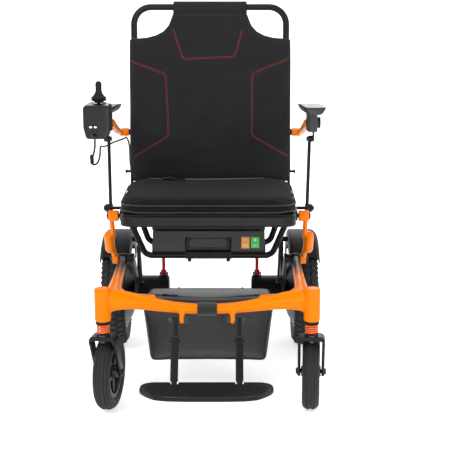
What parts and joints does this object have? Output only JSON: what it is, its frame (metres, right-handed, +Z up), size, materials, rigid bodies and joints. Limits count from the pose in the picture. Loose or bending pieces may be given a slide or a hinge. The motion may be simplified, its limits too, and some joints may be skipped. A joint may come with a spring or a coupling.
{
  "type": "power wheelchair",
  "caption": "Folding power wheelchair with a cast front bow, sprung casters, in-wheel drive, joystick armrest, battery under the seat and a swing-up footrest.",
  "frame": {"origin": "on the floor under the middle of the bounding box", "axes": "+Z up, the occupant faces -Y, +X is the occupant's left"},
  "size_m": [0.592, 1.021, 0.919],
  "materials": {
    "orange_paint": "gloss",
    "spring_orange": "gloss",
    "black_paint": "satin",
    "steel": "satin",
    "black_plastic": "matte",
    "grey_plastic": "matte",
    "gloss_black": "gloss",
    "red_lever": "satin",
    "tyre": "matte",
    "rim_black": "satin",
    "fabric": "matte",
    "bag_fabric": "matte",
    "webbing": "matte",
    "pad_foam": "satin",
    "cable": "satin"
  },
  "bodies": {
    "base": {"front_bow": "orange_paint", "pivot_pins": "steel", "side_plates": "black_paint", "cross_tubes": "black_paint", "drive_motors": "black_plastic", "fenders": "black_plastic", "caster_collars": "black_plastic", "anti_tip_arms": "black_paint", "under_bag": "bag_fabric", "bag_straps": "webbing", "caster_spring_left": "spring_orange", "caster_spring_right": "spring_orange"},
    "side_arms": {"side_arms": "orange_paint"},
    "rear_links": {"rear_links": "black_paint"},
    "seat": {"seat_frame": "black_paint", "seat_board": "black_plastic", "seat_cushion": "fabric", "seat_brackets": "black_paint", "battery_cradle": "black_paint", "control_box": "black_plastic", "seat_belt": "webbing"},
    "battery": {"battery_case": "grey_plastic"},
    "backrest": {"back_frame": "black_paint", "back_cover": "fabric", "head_flap": "fabric", "back_cable": "cable"},
    "armrest_left": {"arm_tube_left": "orange_paint", "arm_clamp_left": "grey_plastic", "arm_pad_left": "pad_foam"},
    "armrest_right": {"arm_tube_right": "orange_paint", "arm_clamp_right": "grey_plastic", "arm_pad_right": "pad_foam", "control_pod": "gloss_black", "arm_cable": "cable"},
    "joystick_gimbal": {"stick_gimbal": "steel"},
    "joystick": {"joystick": "gloss_black"},
    "power_button": {"power_button": "red_lever"},
    "horn_button": {"horn_button": "black_plastic"},
    "footrest": {"footrest_hanger": "black_paint"},
    "footplate": {"footplate": "black_plastic"},
    "caster_slide_left": {"caster_stem_left": "steel"},
    "caster_swivel_left": {"caster_fork_left": "black_paint"},
    "caster_wheel_left": {"caster_rim_left": "rim_black", "caster_tyre_left": "tyre"},
    "drive_wheel_left": {"drive_rim_left": "rim_black", "drive_tyre_left": "tyre"},
    "clutch_lever_left": {"clutch_lever_left": "red_lever"},
    "anti_tip_wheel_left": {"anti_tip_wheel_left": "tyre"},
    "arm_knob_left": {"arm_knob_left": "gloss_black"},
    "strut_left": {"strut_left": "black_paint"},
    "caster_slide_right": {"caster_stem_right": "steel"},
    "caster_swivel_right": {"caster_fork_right": "black_paint"},
    "caster_wheel_right": {"caster_rim_right": "rim_black", "caster_tyre_right": "tyre"},
    "drive_wheel_right": {"drive_rim_right": "rim_black", "drive_tyre_right": "tyre"},
    "clutch_lever_right": {"clutch_lever_right": "red_lever"},
    "anti_tip_wheel_right": {"anti_tip_wheel_right": "tyre"},
    "arm_knob_right": {"arm_knob_right": "gloss_black"},
    "strut_right": {"strut_right": "black_paint"}
  },
  "joints": [
    {"name": "base_fold", "type": "hinge", "parent": "base", "child": "side_arms", "pos_m": [0, 0.0625, 0.288], "axis": [1, 0, 0], "range_deg": [0, 30]},
    {"name": "seat_level", "type": "hinge", "parent": "side_arms", "child": "seat", "pos_m": [0, -0.0175, 0.417], "axis": [1, 0, 0], "range_deg": [-30, 0]},
    {"name": "rear_link_fold", "type": "hinge", "parent": "base", "child": "rear_links", "pos_m": [0, 0.1775, 0.2], "axis": [1, 0, 0], "range_deg": [0, 30]},
    {"name": "back_fold", "type": "hinge", "parent": "seat", "child": "backrest", "pos_m": [0, 0.2525, 0.413], "axis": [1, 0, 0], "range_deg": [0, 88]},
    {"name": "battery_slide", "type": "slide", "parent": "seat", "child": "battery", "axis": [0, -1, 0], "range_m": [0, 0.15]},
    {"name": "footrest_swing", "type": "hinge", "parent": "base", "child": "footrest", "pos_m": [0, -0.2875, 0.236], "axis": [1, 0, 0], "range_deg": [-60, 0]},
    {"name": "footplate_flip", "type": "hinge", "parent": "footrest", "child": "footplate", "pos_m": [0, -0.3755, 0.112], "axis": [1, 0, 0], "range_deg": [-70, 0]},
    {"name": "joystick_tilt", "type": "hinge", "parent": "armrest_right", "child": "joystick_gimbal", "pos_m": [-0.257, -0.0585, 0.686], "axis": [1, 0, 0], "range_deg": [-15, 15], "stiffness_Nm_per_rad": 0.5},
    {"name": "joystick_roll", "type": "hinge", "parent": "joystick_gimbal", "child": "joystick", "pos_m": [-0.257, -0.0585, 0.686], "axis": [0, 1, 0], "range_deg": [-15, 15], "stiffness_Nm_per_rad": 0.5},
    {"name": "power_press", "type": "slide", "parent": "armrest_right", "child": "power_button", "axis": [0, 0, -1], "range_m": [0, 0.0015], "stiffness_N_per_m": 300},
    {"name": "horn_press", "type": "slide", "parent": "armrest_right", "child": "horn_button", "axis": [0, 0, -1], "range_m": [0, 0.0015], "stiffness_N_per_m": 300},
    {"name": "caster_travel_left", "type": "slide", "parent": "base", "child": "caster_slide_left", "axis": [0, 0, 1], "range_m": [0, 0.012], "stiffness_N_per_m": 8000, "springref_m": -0.02, "deforming": ["caster_spring_left"]},
    {"name": "caster_swivel_left", "type": "hinge", "parent": "caster_slide_left", "child": "caster_swivel_left", "pos_m": [0.237, -0.2625, 0.19], "axis": [0, 0, 1], "continuous": true},
    {"name": "caster_spin_left", "type": "hinge", "parent": "caster_swivel_left", "child": "caster_wheel_left", "pos_m": [0.24053, -0.21764, 0.089], "axis": [0.9969, -0.0785, 0], "continuous": true},
    {"name": "drive_spin_left", "type": "hinge", "parent": "base", "child": "drive_wheel_left", "pos_m": [0.254, 0.2625, 0.152], "axis": [1, 0, 0], "continuous": true},
    {"name": "clutch_left", "type": "hinge", "parent": "base", "child": "clutch_lever_left", "pos_m": [0.127, 0.2625, 0.196], "axis": [1, 0, 0], "range_deg": [0, 35]},
    {"name": "anti_tip_spin_left", "type": "hinge", "parent": "base", "child": "anti_tip_wheel_left", "pos_m": [0.1, 0.4825, 0.046], "axis": [1, 0, 0], "continuous": true},
    {"name": "armrest_level_left", "type": "hinge", "parent": "backrest", "child": "armrest_left", "pos_m": [0.256, 0.3395, 0.573], "axis": [1, 0, 0], "range_deg": [-88, 0]},
    {"name": "strut_swing_left", "type": "hinge", "parent": "seat", "child": "strut_left", "pos_m": [0.243, 0.0225, 0.428], "axis": [1, 0, 0], "range_deg": [0, 88]},
    {"name": "knob_turn_left", "type": "hinge", "parent": "armrest_left", "child": "arm_knob_left", "pos_m": [0.276, 0.12219, 0.62709], "axis": [1, 0, 0], "continuous": true},
    {"name": "caster_travel_right", "type": "slide", "parent": "base", "child": "caster_slide_right", "axis": [0, 0, 1], "range_m": [0, 0.012], "stiffness_N_per_m": 8000, "springref_m": -0.02, "deforming": ["caster_spring_right"]},
    {"name": "caster_swivel_right", "type": "hinge", "parent": "caster_slide_right", "child": "caster_swivel_right", "pos_m": [-0.237, -0.2625, 0.19], "axis": [0, 0, 1], "continuous": true},
    {"name": "caster_spin_right", "type": "hinge", "parent": "caster_swivel_right", "child": "caster_wheel_right", "pos_m": [-0.22996, -0.21805, 0.089], "axis": [0.9877, -0.1564, 0], "continuous": true},
    {"name": "drive_spin_right", "type": "hinge", "parent": "base", "child": "drive_wheel_right", "pos_m": [-0.254, 0.2625, 0.152], "axis": [1, 0, 0], "continuous": true},
    {"name": "clutch_right", "type": "hinge", "parent": "base", "child": "clutch_lever_right", "pos_m": [-0.127, 0.2625, 0.196], "axis": [1, 0, 0], "range_deg": [0, 35]},
    {"name": "anti_tip_spin_right", "type": "hinge", "parent": "base", "child": "anti_tip_wheel_right", "pos_m": [-0.1, 0.4825, 0.046], "axis": [1, 0, 0], "continuous": true},
    {"name": "armrest_level_right", "type": "hinge", "parent": "backrest", "child": "armrest_right", "pos_m": [-0.256, 0.3395, 0.573], "axis": [1, 0, 0], "range_deg": [-88, 0]},
    {"name": "strut_swing_right", "type": "hinge", "parent": "seat", "child": "strut_right", "pos_m": [-0.243, 0.0225, 0.428], "axis": [1, 0, 0], "range_deg": [0, 88]},
    {"name": "knob_turn_right", "type": "hinge", "parent": "armrest_right", "child": "arm_knob_right", "pos_m": [-0.276, 0.12219, 0.62709], "axis": [1, 0, 0], "continuous": true}
  ],
  "couplings": [
    {"joint": "seat_level", "follows": "base_fold", "ratio": -1},
    {"joint": "rear_link_fold", "follows": "base_fold", "ratio": 1},
    {"joint": "armrest_level_left", "follows": "back_fold", "ratio": -1},
    {"joint": "strut_swing_left", "follows": "back_fold", "ratio": 1},
    {"joint": "armrest_level_right", "follows": "back_fold", "ratio": -1},
    {"joint": "strut_swing_right", "follows": "back_fold", "ratio": 1}
  ]
}
